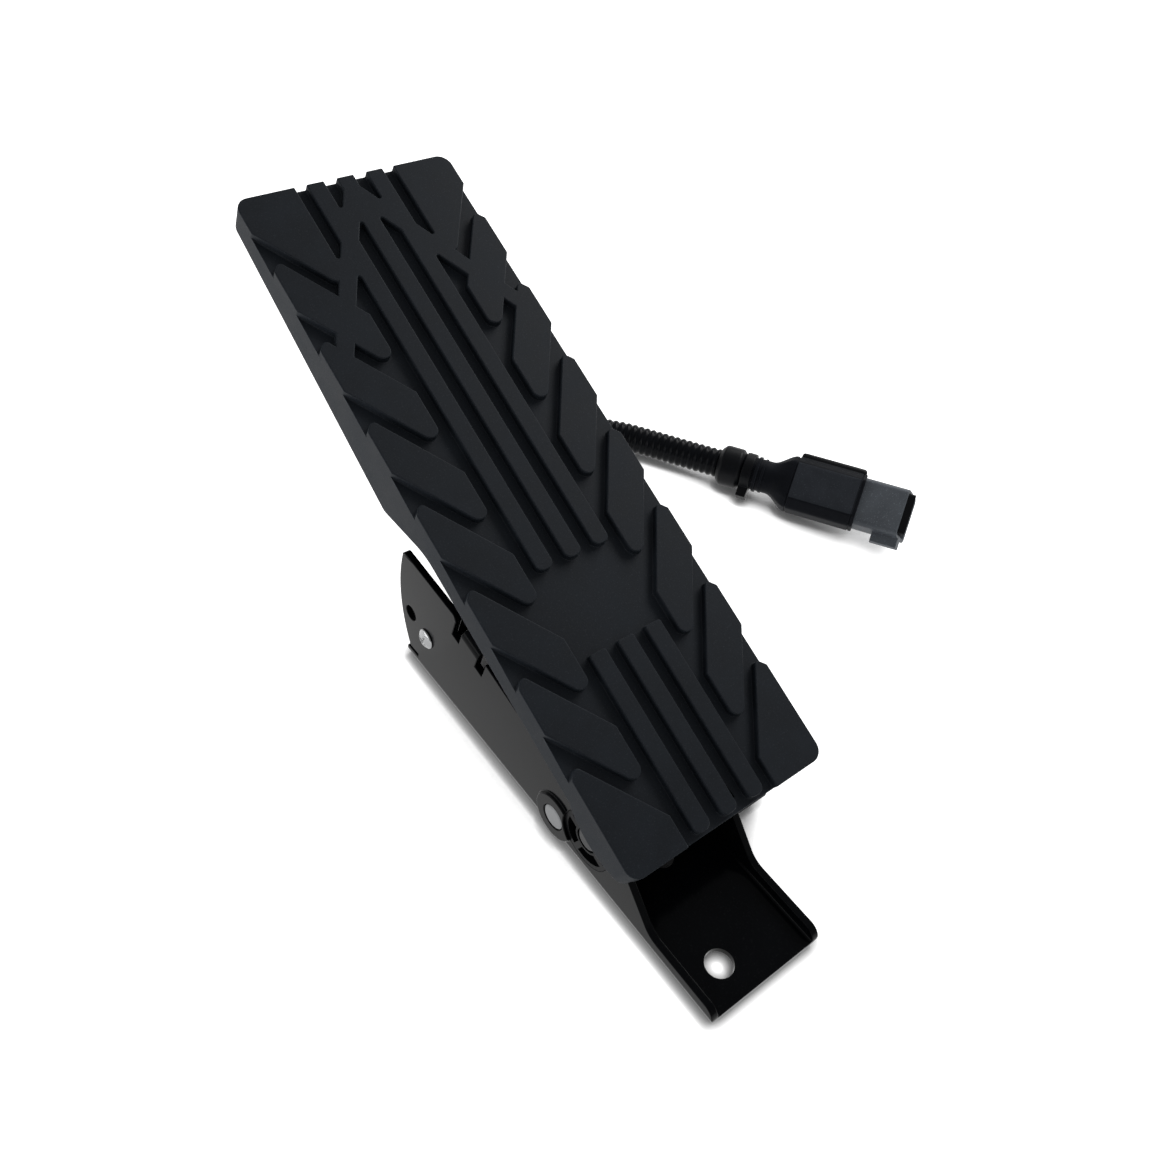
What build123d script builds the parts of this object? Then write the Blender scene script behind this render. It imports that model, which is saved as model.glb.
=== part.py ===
"""Floor-mounted electronic accelerator pedal for a heavy vehicle.

A long moulded treadle turns on a hinge pin near its heel, in a folded sheet-steel channel that is
bolted to the cab floor. Two torsion springs lift it. A rotary sensor on the right wall reads the pin,
and a short corrugated lead ends in an in-line connector.

Millimetres. X is to the driver's right, Y runs from the heel towards the toe and Z is up. The origin is
the axis of the heel bolt hole, on the underside of the channel.
"""

import os
from math import asin, atan2, ceil, cos, degrees, hypot, pi, radians, sin, sqrt, tan

from build123d import *

os.makedirs("parts", exist_ok=True)

# General clearances
seat_gap = 0.05
fit_gap = 0.1
soft_gap = 0.3
running_gap = 0.05

# Folded channel
sheet = 3.0
bend_inside = 1.0
channel_width = 53.0
channel_middle = 10.0
heel_margin = 13.8
floor_toe = 179.2
foot_round = 2.0
lip_height = 7.6
lip_corner = 5.0
shoulder_start = 20.5
shoulder_slope = 45.0
shoulder_top = (40.0, 26.0)
shoulder_round = 10.0
brow = (146.9, 54.8)
tip = (183.0, 57.9)
front_bulge = (184.3, 28.0)
wall_foot = 176.8
relief_height = 1.6
relief_end = 171.0
relief_level = 6.2

# Bolt holes and open toe of the channel floor
heel_hole = 11.0
toe_hole = 9.0
toe_hole_y = 156.0
toe_hole_spread = 33.0
toe_gap_width = 19.0
toe_gap_depth = 30.4
toe_gap_round = 6.0

# Bent stop tab on the left wall
tab_start = 130.2
tab_length = 11.0
tab_reach = 13.0
tab_edge = 48.9
tip_round = 2.0
notch_width = 4.6
notch_depth = 9.0

# Treadle placing
hinge_y = 58.6
hinge_z = 18.1
skirt_gap = 1.0
treadle_angle = 23.16
treadle_travel = 11.0
hinge_from_heel = 19.6
hinge_depth = 25.1

# Treadle moulding
treadle_width = 95.0
treadle_length = 290.8
treadle_corner = 5.5
tread_height = 3.1
plate = 3.4
skirt = 3.0
skirt_heel = 12.0
skirt_deep = 24.5
skirt_deep_from_heel = 163.0
skirt_toe = 11.0
skirt_sweep = 26.0
skirt_corner = 5.0
ear_drop = 4.0
ear_half = 15.0
under_rib = 2.4
under_rib_depth = 8.0
toe_rib_pitch = 24.0

# Tread pattern, in the treadle's own plane; the grooves are measured along the treadle
block_pitch = 36.17
block_inner = 22.0
block_from_toe = 15.6
block_rake = 1.44
groove = 8.9
mouth = 9.2
mouth_depth = 3.6
block_tip_round = 3.6
rib_pitch = 13.2
rib_width = 7.5
rib_round = 3.0
rib_start_round = 1.0
rib_stop = 110.7
heel_rib_start = 75.2
heel_rib_end = 1.6
chevron_rake = 1.71
chevron_from_toe = 13.4
chevron_width = 14.0
chevron_inset = 5.5
slot_round = 0.8

# Hinge
pin_diameter = 10.0
pin_chamfer = 0.8
bush_diameter = 24.4
bush_rim = 1.7
bush_hub = 12.0
bush_flange = 28.0
bush_flange_thick = 1.5
bush_pocket = 3.2
bush_spoke = 2.6
bush_spokes = 4
lug = 6.0
lug_radius = 10.4
lug_heel = 14.0
lug_toe = 26.0
clip_thick = 1.2
clip_diameter = 16.0
clip_groove = 8.6
clip_mouth = 7.0
sleeve_diameter = 14.0

# Return springs
wire = 3.0
spring_radius = 9.2
spring_pitch = 3.6
spring_full_turns = 2
spring_leg_angle = 35.0
anchor_leg = 19.0

# Cross pin that anchors the springs
anchor_y = 75.9
anchor_z = 11.2
anchor_diameter = 11.0
anchor_chamfer = 0.7
pad_diameter = 21.0
pad_height = 1.3
pad_flank = 15.0

# Rubber stops
idle_stop_diameter = 9.0
idle_stop_stem = 6.0
idle_rib_from_hinge = 15.4
idle_rib_reach = 4.0
idle_rib = 3.5
full_stop_length = 9.0
full_stop_width = 10.0
full_stop_stem = 4.0

# Spacer between the wall tips
spacer_y = 164.8
spacer_z = 23.4
spacer_diameter = 12.0
spacer_thread = 5.0
spare_hole = 7.0
spare_hole_y = 176.8
spare_hole_z = 27.3
pan_head = 8.8
pan_height = 2.6
pan_screw_length = 12.0

# Rotary sensor on the right wall
sensor_heel = 39.0
sensor_toe = 88.0
sensor_floor = 2.0
sensor_heel_height = 19.0
sensor_crown = 31.0
sensor_crown_start = 49.0
sensor_crown_end = 72.0
sensor_toe_height = 24.0
sensor_depth = 22.0
sensor_wall = 2.4
sensor_base = 3.0
sensor_round = 5.0
cover_thick = 2.6
cover_rim = 1.6
cover_rim_wall = 1.4
rotor_diameter = 17.0
rotor_length = 9.0
magnet_diameter = 9.0
magnet_thick = 3.0
board_thick = 1.6
board_gap = 2.0
board_margin = 1.2
seal_section = 2.0
sensor_screw = 4.0
sensor_screw_head = 7.2
sensor_screw_head_height = 2.4
sensor_screw_boss = 7.6
sensor_screw_places = ((45.0, 9.0), (83.5, 7.5), (80.0, 20.5))
gland_x = 49.0
gland_z = 13.5
gland_hex = 19.0
gland_hex_length = 6.0
gland_barrel = 17.0
gland_length = 12.0

# Corrugated lead: route points from the gland to the connector
lead_diameter = 14.5
lead_route = [
    (49.0, 100.0, 13.5),
    (49.0, 124.0, 13.5),
    (47.7, 157.0, 9.6),
    (47.0, 188.0, 7.5),
    (47.1, 216.3, 7.5),
    (57.9, 239.6, 7.5),
    (77.5, 256.1, 7.5),
    (102.3, 262.7, 7.5),
    (127.6, 258.2, 7.5),
    (148.6, 243.5, 7.5),
    (160.0, 224.6, 8.2),
    (169.0, 208.1, 9.4),
    (177.4, 193.4, 10.8),
]

# Connector, along the lead's last direction
connector_roll = 35.0
collar_diameter = 20.6
collar_length = 13.0
collar_chamfer = 2.2
neck_diameter = 16.4
neck_length = 16.3
strap_width = 5.0
strap_thick = 1.4
strap_lock = 6.0
shoulder_length = 9.5
shell_width = 28.0
shell_height = 19.0
shell_chamfer = 4.5
shell_length = 34.0
latch_width = 8.0
latch_height = 2.4
nose_width = 24.5
nose_height = 14.0
nose_length = 26.0
nose_cut = 5.0
nose_root = 3.0
nose_wall = 1.6
nose_round = 2.8
nose_cavity = 18.0
keel_width = 4.0
keel_height = 5.0
keel_length = 16.0
wedge_length = 4.0
contact_diameter = 1.6
contact_length = 12.0
contact_pitch = 4.6

# Derived places
channel_left = channel_middle - channel_width / 2
channel_right = channel_middle + channel_width / 2
inner_left = channel_left + sheet
inner_right = channel_right - sheet
bend_outside = bend_inside + sheet
wall_top = tip[1] + sheet
pressed_angle = treadle_angle - treadle_travel
tread_level = hinge_depth
valley_level = tread_level - tread_height
plate_level = valley_level - plate
heel_place = -hinge_from_heel
toe_place = treadle_length - hinge_from_heel
mid_place = treadle_length / 2 - hinge_from_heel
treadle_middle = channel_left - skirt_gap - skirt + treadle_width / 2
lug_left = inner_left + bush_flange_thick + soft_gap
lug_right = inner_right - bush_flange_thick - soft_gap

# The treadle's own plane: origin on the hinge axis, X across, Y towards the toe, Z out of the tread
slope = radians(treadle_angle)
treadle_plane = Plane(
    origin=(treadle_middle, hinge_y, hinge_z),
    x_dir=(1, 0, 0),
    z_dir=(0, -sin(slope), cos(slope)),
)


def side_plane(x):
    """Plane parallel to the walls at x: local X runs towards the toe, local Y up, normal to the right."""
    return Plane(origin=(x, 0, 0), x_dir=(0, 1, 0), z_dir=(1, 0, 0))


def treadle_side_plane(across):
    """The same on the treadle: local X along it from the hinge, local Y out of the tread."""
    origin = treadle_plane.from_local_coords(Vector(across, 0, 0))
    return Plane(origin=origin, x_dir=treadle_plane.y_dir, z_dir=treadle_plane.x_dir)


def finish(piece, name):
    """Label a finished piece and write it."""
    piece.part.label = name
    export_step(piece.part, f"parts/{name}.step")


# Folded channel: a U of sheet steel, its walls cut to a falling outline
tab_slope = radians(pressed_angle)
tab_middle = tab_start + tab_length / 2


def wall_edge(y):
    """Height of the wall's sloping top edge at y, on the line of the bent tab."""
    return tab_edge + (y - tab_start) * tan(tab_slope)


with BuildPart() as base_bracket:
    with BuildSketch(Plane.XZ.offset(heel_margin)) as section:
        with Locations((channel_middle, 0)):
            Rectangle(channel_width, wall_top, align=(Align.CENTER, Align.MIN))
        fillet(section.vertices().group_by(Axis.Z)[0], bend_outside)
        with BuildSketch(Plane.XZ.offset(heel_margin), mode=Mode.SUBTRACT) as hollow:
            with Locations((channel_middle, sheet)):
                Rectangle(channel_width - 2 * sheet, wall_top, align=(Align.CENTER, Align.MIN))
            fillet(hollow.vertices().group_by(Axis.Z)[0], bend_inside)
    extrude(amount=-(heel_margin + front_bulge[0] + sheet))
    notch_toe = tab_start + tab_length + notch_width
    with BuildSketch(side_plane(channel_left - sheet)) as side_outline:
        with BuildLine() as outline:
            foot = (tab_start - notch_width, wall_edge(tab_start - notch_width))
            rise = (notch_toe, wall_edge(notch_toe))
            shoulder_end = (shoulder_start + (shoulder_top[1] - lip_height) / tan(radians(shoulder_slope)),)
            front = FilletPolyline(
                (-heel_margin, 0),
                (-heel_margin, lip_height),
                (shoulder_start, lip_height),
                (shoulder_end[0], shoulder_top[1]),
                foot,
                rise,
                brow,
                tip,
                radius=[lip_corner, shoulder_round, shoulder_round, 3.0, 1.0, 2.0],
            )
            ThreePointArc(front @ 1, front_bulge, (wall_foot, relief_level))
            foot_corner = (floor_toe, relief_level)
            FilletPolyline((wall_foot, relief_level), foot_corner, (floor_toe, 0), radius=foot_round)
            Line((floor_toe, 0), (-heel_margin, 0))
        make_face()
        fillet(side_outline.vertices().sort_by_distance((*tip, 0))[0], tip_round)
    extrude(amount=channel_width + 2 * sheet, mode=Mode.INTERSECT)
    # Stop tab folded inwards between two relief notches
    tab_plane = Plane(
        origin=(channel_left, tab_start, tab_edge),
        x_dir=(1, 0, 0),
        z_dir=(0, -sin(tab_slope), cos(tab_slope)),
    )
    tab_run = tab_length / cos(tab_slope)
    notch_run = notch_width / cos(tab_slope)
    with BuildSketch(tab_plane):
        Rectangle(tab_reach + sheet, tab_run, align=Align.MIN)
    extrude(amount=-sheet)
    with BuildSketch(tab_plane.offset(sheet)):
        with Locations((-sheet, -notch_run), (-sheet, tab_run)):
            Rectangle(3 * sheet, notch_run, align=Align.MIN)
    extrude(amount=-(notch_depth + sheet), mode=Mode.SUBTRACT)
    tab_bend = base_bracket.edges().filter_by(lambda e: abs(e.length - tab_run) < 0.2)
    tab_corner = (channel_left, tab_middle, wall_edge(tab_middle))
    fillet(tab_bend.sort_by_distance(tab_corner)[0], bend_outside - 0.2)
    # Raised round pad on the left wall, pressed out from the inside
    with BuildSketch(side_plane(channel_left)):
        with Locations((anchor_y, anchor_z)):
            Circle(pad_diameter / 2)
    extrude(amount=-pad_height, taper=pad_flank)
    with BuildSketch(side_plane(inner_left)):
        with Locations((anchor_y, anchor_z)):
            Circle(pad_diameter / 2 - pad_height - bend_inside)
    extrude(amount=-pad_height, mode=Mode.SUBTRACT)
    # Holes through the walls: hinge bushes, cross pin, spacer screws, spare hole, bend relief
    with BuildSketch(side_plane(channel_left - sheet)):
        with Locations((hinge_y, hinge_z)):
            Circle(bush_diameter / 2 + fit_gap)
        with Locations((anchor_y, anchor_z)):
            Circle(anchor_diameter / 2 + seat_gap)
        with Locations((spacer_y, spacer_z)):
            Circle(spacer_thread / 2 + fit_gap)
        with Locations((spare_hole_y, spare_hole_z)):
            Circle(spare_hole / 2)
        with Locations((floor_toe, relief_level)):
            Rectangle(2 * (floor_toe - relief_end), relief_height)
    extrude(amount=channel_width + 2 * sheet, mode=Mode.SUBTRACT)
    with BuildSketch(side_plane(channel_right - 2 * sheet)):
        with Locations(*sensor_screw_places):
            Circle(sensor_screw / 2 + fit_gap)
    extrude(amount=3 * sheet, mode=Mode.SUBTRACT)
    # Bolt holes, stop stem hole and the open toe of the floor
    idle_y = hinge_y - idle_rib_from_hinge * cos(slope) - idle_rib_reach * sin(slope)
    with BuildSketch(Plane.XY):
        Circle(heel_hole / 2)
        with Locations((channel_middle, toe_hole_y)):
            with GridLocations(toe_hole_spread, 0, 2, 1):
                Circle(toe_hole / 2)
        with Locations((channel_middle, idle_y)):
            Circle(idle_stop_stem / 2 + seat_gap)
        with Locations((channel_middle, floor_toe)):
            RectangleRounded(toe_gap_width, 2 * toe_gap_depth, toe_gap_round)
    extrude(amount=sheet, mode=Mode.SUBTRACT)
    # Stem hole of the full-travel stop, through the tab
    tab_hole = ((tab_reach + 2 * sheet) / 2, tab_run / 2)
    with BuildSketch(tab_plane):
        with Locations(tab_hole):
            Circle(full_stop_stem / 2 + seat_gap)
    extrude(amount=-sheet, mode=Mode.SUBTRACT)
finish(base_bracket, "base_bracket")

# Treadle: one moulding with the tread on top, skirts at the sides and ribs below


block_fall = (treadle_width / 2 - block_inner) * block_rake
block_count = 1 + ceil((treadle_length - block_from_toe - block_fall) / block_pitch)


def tread_block(side, index):
    """One raised side block, a raked band with a cut-back outer corner and a round inner tip."""
    outer = treadle_width / 2
    heel_outer = toe_place - block_from_toe - index * block_pitch
    toe_outer = heel_outer + block_pitch - groove
    mouth_x = outer - mouth_depth
    mouth_y = toe_outer - mouth_depth * block_rake
    tip_y = heel_outer - block_fall
    first = index == 0
    last = index == block_count - 1
    if last:
        points = [(outer, heel_place - block_pitch), (block_inner, heel_place - block_pitch)]
    else:
        points = [(outer, heel_outer), (block_inner, tip_y)]
    if first:
        points += [(block_inner, toe_place), (outer, toe_place)]
    else:
        points += [(block_inner, toe_outer - block_fall), (mouth_x, mouth_y), (outer, toe_outer - mouth)]
    with BuildSketch() as block:
        Polygon(*[(side * x, y) for x, y in points], align=None)
        if not last:
            fillet(block.vertices().sort_by_distance((side * block_inner, tip_y, 0))[0], block_tip_round)
        if not first:
            fillet(block.vertices().sort_by_distance((side * mouth_x, mouth_y, 0))[0], mouth_depth / 2)
    return block.sketch


def chevron_arm(side):
    """One arm of the raised inverted V across the toe half."""
    chevron_end = treadle_width / 2 - chevron_inset
    near = toe_place - chevron_from_toe
    far = near - chevron_end * chevron_rake
    with BuildSketch() as arm:
        Polygon(
            (0, near),
            (side * chevron_end, far),
            (side * chevron_end, far + chevron_width),
            (0, near + chevron_width),
            align=None,
        )
    return arm.sketch


def rib(x, start, end, end_round):
    """One long tread rib with a round heel end."""
    with BuildSketch() as bar:
        with Locations((x, (start + end) / 2 - hinge_from_heel)):
            Rectangle(rib_width, end - start)
        fillet(bar.vertices().group_by(Axis.Y)[0], rib_round)
        fillet(bar.vertices().group_by(Axis.Y)[-1], end_round)
    return bar.sketch


with BuildPart() as treadle:
    # Side outline of the moulding, from the tread's valley down to the edge of the skirts
    with BuildSketch(treadle_side_plane(-treadle_width / 2)):
        with BuildLine():
            deep_place = skirt_deep_from_heel - hinge_from_heel
            heel_low = tread_level - skirt_heel
            deep_low = tread_level - skirt_deep
            lower = FilletPolyline(
                (toe_place, tread_level - skirt_toe),
                (deep_place, deep_low),
                (deep_place - skirt_sweep, heel_low),
                (ear_half, heel_low),
                radius=[skirt_corner, skirt_sweep],
            )
            ThreePointArc(lower @ 1, (0, heel_low - ear_drop), (-ear_half, heel_low))
            Polyline(
                (-ear_half, heel_low),
                (heel_place, heel_low),
                (heel_place, valley_level),
                (toe_place, valley_level),
                (toe_place, tread_level - skirt_toe),
            )
        make_face()
    extrude(amount=treadle_width)
    with BuildSketch(treadle_plane.offset(-treadle_length)):
        with Locations((0, mid_place)):
            RectangleRounded(treadle_width, treadle_length, treadle_corner)
    extrude(amount=2 * treadle_length, mode=Mode.INTERSECT)
    # Hollow underside, open at the heel
    with BuildSketch(treadle_plane.offset(plate_level)):
        with Locations((0, mid_place - treadle_corner)):
            RectangleRounded(
                treadle_width - 2 * skirt,
                treadle_length - 2 * skirt + 2 * treadle_corner,
                treadle_corner - skirt,
            )
    extrude(amount=-treadle_length, mode=Mode.SUBTRACT)
    # Raised tread
    with BuildSketch(treadle_plane.offset(valley_level)) as tread:
        for side in (-1, 1):
            for index in range(block_count):
                add(tread_block(side, index))
            add(chevron_arm(side))
        for place in (-rib_pitch, 0, rib_pitch):
            add(rib(place, rib_stop, treadle_length + rib_width, rib_round))
            add(rib(place, heel_rib_end, heel_rib_start, rib_start_round))
        # Round ends of the slots between the ribs, the blocks and the inverted V
        below = toe_place - chevron_from_toe
        above = below + chevron_width
        slot_ends = [(x, below - x * chevron_rake) for x in (rib_width / 2, rib_pitch + rib_width / 2)]
        slot_ends += [(x, above - x * chevron_rake) for x in (rib_pitch - rib_width / 2, block_inner)]
        for x, y in slot_ends:
            for side in (-1, 1):
                fillet(tread.vertices().sort_by_distance((side * x, y, 0))[0], slot_round)
        with BuildSketch(mode=Mode.INTERSECT):
            with Locations((0, mid_place)):
                RectangleRounded(treadle_width, treadle_length, treadle_corner)
    extrude(amount=tread_height)
    # Hinge lugs inside the channel walls
    for lug_x in (lug_left, lug_right - lug):
        with BuildSketch(treadle_side_plane(lug_x - treadle_middle)):
            Circle(lug_radius)
            heel_angle = atan2(plate_level, -lug_heel)
            toe_angle = atan2(plate_level, lug_toe)
            heel_turn = heel_angle + asin(1) - asin(lug_radius / hypot(lug_heel, plate_level))
            toe_turn = toe_angle - asin(1) + asin(lug_radius / hypot(lug_toe, plate_level))
            Polygon(
                (lug_radius * cos(heel_turn), lug_radius * sin(heel_turn)),
                (lug_radius * cos(toe_turn), lug_radius * sin(toe_turn)),
                (lug_toe, plate_level + plate / 2),
                (-lug_heel, plate_level + plate / 2),
                align=None,
            )
        extrude(amount=lug)
    # Idle rib between the lugs
    rib_width_across = lug_right - lug_left
    rib_middle = (lug_left + lug_right) / 2 - treadle_middle
    with BuildSketch(treadle_plane.offset(plate_level + plate / 2)):
        with Locations((rib_middle, -idle_rib_from_hinge)):
            Rectangle(rib_width_across, idle_rib)
    extrude(amount=-(plate_level + plate / 2 - idle_rib_reach))
    # Stiffening ribs: a crate under the toe, clear of the channel
    crate_heel = skirt_deep_from_heel + skirt_corner - hinge_from_heel
    crate_toe = toe_place - skirt
    toe_rib_count = 1 + int((crate_toe - crate_heel) / toe_rib_pitch)
    with BuildSketch(treadle_plane.offset(plate_level)):
        for cross in range(toe_rib_count):
            with Locations((0, crate_heel + cross * toe_rib_pitch)):
                Rectangle(treadle_width - skirt, under_rib)
        with Locations((0, (crate_heel + crate_toe) / 2)):
            with GridLocations(treadle_width / 3, 0, 2, 1):
                Rectangle(under_rib, crate_toe - crate_heel + under_rib)
    extrude(amount=-under_rib_depth)
    # Bore for the hinge pin
    with BuildSketch(treadle_side_plane(-treadle_width)):
        Circle(pin_diameter / 2 + seat_gap)
    extrude(amount=2 * treadle_width, mode=Mode.SUBTRACT)
finish(treadle, "treadle")

# Hinge bushes: moulded rims and hubs joined by spokes, their flanges inside the walls


def hinge_bush(outer_face, inward):
    """A bush whose visible face is at outer_face and whose flange lies inward of the wall."""
    face = Plane(origin=(outer_face, hinge_y, hinge_z), x_dir=(0, 1, 0), z_dir=(inward, 0, 0))
    with BuildPart() as bush:
        with BuildSketch(face):
            Circle(bush_diameter / 2)
        extrude(amount=sheet)
        with BuildSketch(face.offset(sheet)):
            Circle(bush_flange / 2)
        extrude(amount=bush_flange_thick)
        with BuildSketch(face):
            Circle(bush_diameter / 2 - bush_rim)
            Circle(bush_hub / 2, mode=Mode.SUBTRACT)
            with PolarLocations(0, bush_spokes, start_angle=treadle_angle):
                Rectangle(bush_diameter / 2, bush_spoke, align=(Align.MIN, Align.CENTER), mode=Mode.SUBTRACT)
        extrude(amount=bush_pocket, mode=Mode.SUBTRACT)
        with BuildSketch(face):
            Circle(pin_diameter / 2 + running_gap)
            with Locations((anchor_y - hinge_y, (anchor_z - hinge_z) * inward)):
                Circle(anchor_diameter / 2 + soft_gap)
        extrude(amount=sheet + bush_flange_thick, mode=Mode.SUBTRACT)
    return bush


hinge_bush_left = hinge_bush(channel_left, 1)
finish(hinge_bush_left, "hinge_bush_left")
hinge_bush_right = hinge_bush(channel_right, -1)
finish(hinge_bush_right, "hinge_bush_right")

# Hinge pin, turning with the treadle, with two clip grooves and its right end in the sensor
pin_right = channel_right + sensor_base + rotor_length
clip_places = (lug_left + lug + seat_gap, lug_right - lug - seat_gap - clip_thick)
with BuildPart() as hinge_pin:
    with BuildSketch(side_plane(channel_left)):
        with Locations((hinge_y, hinge_z)):
            Circle(pin_diameter / 2)
    extrude(amount=pin_right - channel_left)
    chamfer(hinge_pin.edges().filter_by(GeomType.CIRCLE), pin_chamfer)
    for place in clip_places:
        with BuildSketch(side_plane(place)):
            with Locations((hinge_y, hinge_z)):
                Circle(pin_diameter)
                Circle(clip_groove / 2, mode=Mode.SUBTRACT)
        extrude(amount=clip_thick, mode=Mode.SUBTRACT)
finish(hinge_pin, "hinge_pin")

# Retaining clips, one against the inner face of each lug
with BuildPart() as pin_clips:
    for place in clip_places:
        with BuildSketch(side_plane(place + seat_gap)):
            with Locations((hinge_y, hinge_z)):
                Circle(clip_diameter / 2)
                Circle(clip_groove / 2 + seat_gap, mode=Mode.SUBTRACT)
                Rectangle(
                    clip_mouth,
                    clip_diameter,
                    align=(Align.CENTER, Align.MAX),
                    mode=Mode.SUBTRACT,
                )
        extrude(amount=clip_thick - 2 * seat_gap)
finish(pin_clips, "pin_clips")

# Plastic sleeve that carries the spring coils on the pin
sleeve_left = clip_places[0] + clip_thick + soft_gap
sleeve_right = clip_places[1] - soft_gap
with BuildPart() as spring_sleeve:
    with BuildSketch(side_plane(sleeve_left)):
        with Locations((hinge_y, hinge_z)):
            Circle(sleeve_diameter / 2)
            Circle(pin_diameter / 2 + fit_gap, mode=Mode.SUBTRACT)
    extrude(amount=sleeve_right - sleeve_left)
finish(spring_sleeve, "spring_sleeve")

# Cross pin: ties the walls and carries the fixed spring legs
with BuildPart() as anchor_pin:
    with BuildSketch(side_plane(channel_left - pad_height)):
        with Locations((anchor_y, anchor_z)):
            Circle(anchor_diameter / 2)
    extrude(amount=channel_width + pad_height - seat_gap)
    chamfer(anchor_pin.edges().filter_by(GeomType.CIRCLE), anchor_chamfer)
finish(anchor_pin, "anchor_pin")

# Torsion return springs: the fixed leg lies on the cross pin, the other lifts the treadle
leg_turn = radians(spring_leg_angle)
wire_corner = wire / 2 / cos(pi / 8)
anchor_rest = anchor_z - hinge_z + anchor_diameter / 2 + wire_corner + seat_gap
anchor_turn = degrees(asin(anchor_rest / spring_radius))
spring_turns = spring_full_turns + (270 - spring_leg_angle + anchor_turn) / 360
leg_tilt = leg_turn - slope
leg_level = plate_level - wire / 2 - soft_gap
lift_leg = (leg_level - spring_radius * cos(leg_tilt)) / sin(leg_tilt)
with BuildPart() as coil:
    with BuildLine() as coil_line:
        Helix(spring_pitch, spring_turns * spring_pitch, spring_radius, direction=(1, 0, 0))
    with BuildSketch(Plane(origin=coil_line.line @ 0, z_dir=coil_line.line % 0)):
        RegularPolygon(wire_corner, 8)
    sweep(is_frenet=True)
    with BuildSketch(Plane(origin=coil_line.line @ 0, z_dir=(0, 1, 0))):
        RegularPolygon(wire_corner, 8)
    extrude(amount=lift_leg)
    with BuildSketch(Plane(origin=coil_line.line @ 1, z_dir=(0, cos(leg_turn), -sin(leg_turn)))):
        RegularPolygon(wire_corner, 8)
    extrude(amount=anchor_leg)
    with Locations(coil_line.line @ 1):
        Sphere(wire / 2)
coil_twin = mirror(coil.part, about=Plane.YZ)
spring_edge = wire / 2 + soft_gap
with BuildPart() as return_spring_left:
    with Locations(Location((sleeve_left + spring_edge, hinge_y, hinge_z), (spring_leg_angle, 0, 0))):
        add(coil.part)
finish(return_spring_left, "return_spring_left")
with BuildPart() as return_spring_right:
    with Locations(Location((sleeve_right - spring_edge, hinge_y, hinge_z), (spring_leg_angle, 0, 0))):
        add(coil_twin)
finish(return_spring_right, "return_spring_right")

# Rubber idle stop under the idle rib
idle_z = hinge_z - idle_rib_from_hinge * sin(slope) + idle_rib_reach * cos(slope)
idle_low = idle_z - idle_rib / 2 * sin(slope) - soft_gap
with BuildPart() as idle_stop:
    with BuildSketch(Plane.XY.offset(sheet)):
        with Locations((channel_middle, idle_y)):
            Circle(idle_stop_diameter / 2)
    extrude(amount=idle_low - sheet, taper=6)
    with BuildSketch(Plane.XY.offset(sheet / 4)):
        with Locations((channel_middle, idle_y)):
            Circle(idle_stop_stem / 2)
    extrude(amount=sheet)
finish(idle_stop, "idle_stop")

# Rubber full-travel stop on the bent tab
pressed = radians(pressed_angle)
press_level = plate_level + hinge_z * cos(pressed) - hinge_y * sin(pressed)
tab_level = tab_edge * cos(tab_slope) - tab_start * sin(tab_slope)
full_stop_height = press_level - tab_level - soft_gap
with BuildPart() as full_stop:
    with BuildSketch(tab_plane):
        with Locations(tab_hole):
            RectangleRounded(full_stop_width, full_stop_length, 2)
    extrude(amount=full_stop_height, taper=8)
    with BuildSketch(tab_plane):
        with Locations(tab_hole):
            Circle(full_stop_stem / 2)
    extrude(amount=-sheet)
finish(full_stop, "full_stop")

# Spacer tube between the wall tips, and the pan-head screw at each end of it
with BuildPart() as spacer_tube:
    with BuildSketch(side_plane(inner_left + seat_gap)):
        with Locations((spacer_y, spacer_z)):
            Circle(spacer_diameter / 2)
            Circle(spacer_thread / 2 + seat_gap, mode=Mode.SUBTRACT)
    extrude(amount=inner_right - inner_left - 2 * seat_gap)
finish(spacer_tube, "spacer_tube")


def pan_screw(face, inward, place, thread, head, height, length):
    """A pan-head screw whose head sits on face and whose shank runs inward."""
    seat = Plane(origin=(face, *place), x_dir=(0, 1, 0), z_dir=(-inward, 0, 0))
    with BuildPart() as screw:
        with BuildSketch(seat):
            Circle(head / 2)
        extrude(amount=height)
        rim = screw.edges().filter_by(GeomType.CIRCLE).sort_by_distance(seat.offset(height).origin)[0]
        chamfer(rim, height / 3, height / 2)
        with BuildSketch(seat.offset(height)):
            Rectangle(head / 2, head / 8)
            Rectangle(head / 8, head / 2)
        extrude(amount=-height / 2, mode=Mode.SUBTRACT)
        with BuildSketch(seat):
            Circle(thread / 2)
        extrude(amount=-length)
    return screw.part


with BuildPart() as spacer_screws:
    spacer_place = (spacer_y, spacer_z)
    add(pan_screw(channel_left, 1, spacer_place, spacer_thread, pan_head, pan_height, pan_screw_length))
    add(pan_screw(channel_right, -1, spacer_place, spacer_thread, pan_head, pan_height, pan_screw_length))
finish(spacer_screws, "spacer_screws")

# Sensor housing: a cup on the right wall, round the end of the hinge pin
sensor_right = channel_right + sensor_depth


def sensor_outline(inset):
    """Side outline of the sensor, drawn in by inset."""
    with BuildSketch() as outline:
        Polygon(
            (sensor_heel, sensor_floor),
            (sensor_toe, sensor_floor),
            (sensor_toe, sensor_toe_height),
            (sensor_crown_end, sensor_crown),
            (sensor_crown_start, sensor_crown),
            (sensor_heel, sensor_heel_height),
            align=None,
        )
        fillet(outline.vertices(), sensor_round)
        if inset > 0:
            offset(amount=-inset, mode=Mode.REPLACE)
    return outline.sketch


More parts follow.
